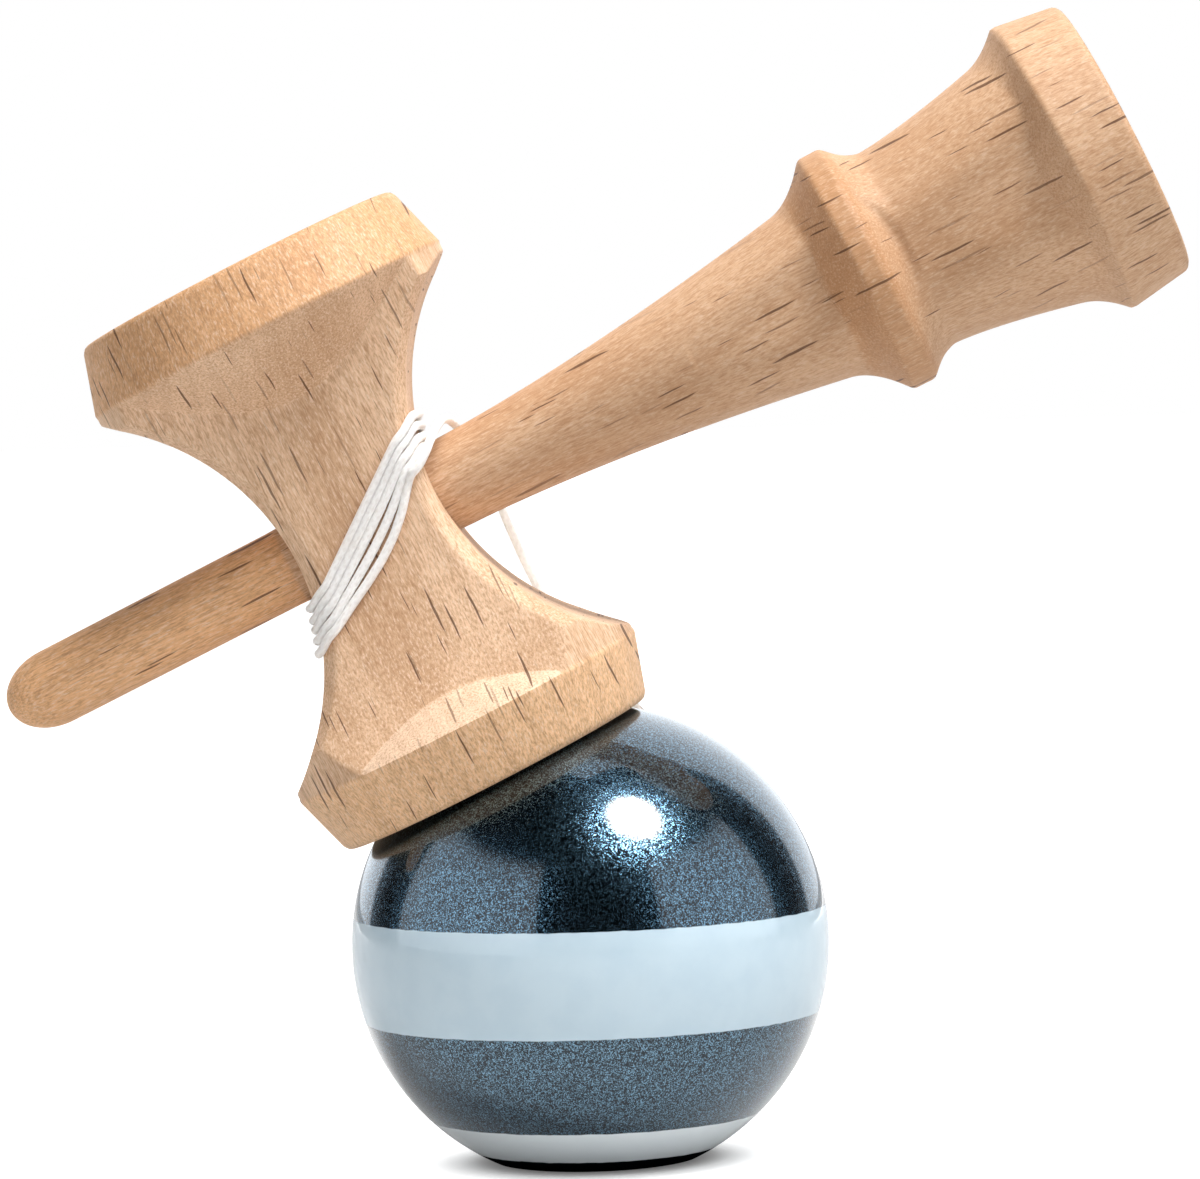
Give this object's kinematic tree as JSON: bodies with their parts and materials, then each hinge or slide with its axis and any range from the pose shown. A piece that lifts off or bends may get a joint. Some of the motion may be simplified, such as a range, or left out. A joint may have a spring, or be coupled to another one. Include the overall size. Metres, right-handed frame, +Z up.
{
  "type": "kendama",
  "caption": "Wooden skill toy: a spiked handle through a two-cup spool, standing on its striped lacquered ball, tied to it by a string.",
  "frame": {"origin": "centre of the ball, on the axis of its spike hole", "axes": "+Z up along the axis of the ball's spike hole and string hole, +X towards the handle's base cup, spike towards -X, front of the toy towards -Y"},
  "size_m": [0.1501, 0.06, 0.1427],
  "materials": {
    "beech": "bare sanded beech",
    "lacquer": "dark metallic lacquer with white stripes under a clear gloss coat",
    "string": "fine white braid",
    "bead_wood": "bare wood"
  },
  "bodies": {
    "tama": {"tama": "lacquer"},
    "bead": {"bead": "bead_wood", "bead_knot": "string", "string_in_tama": "string"},
    "lead": {"string_lead": "string"},
    "ken": {"ken": "beech", "sarado": "beech", "string_winding": "string", "string_root": "string", "ken_knot": "string"}
  },
  "joints": [
    {"name": "swivel", "type": "hinge", "parent": "tama", "child": "bead", "pos_m": [0, 0, 0], "axis": [0, 0, 1], "continuous": true},
    {"name": "cup_rock", "type": "hinge", "parent": "bead", "child": "lead", "pos_m": [0, 0, 0], "axis": [0, 1, 0], "range_deg": [-5, 25], "deforming": ["string_lead"]},
    {"name": "ken_lift", "type": "slide", "parent": "lead", "child": "ken", "axis": [-0.4289, 0, 0.9033], "range_m": [0, 0.02], "deforming": ["string_lead"]}
  ]
}
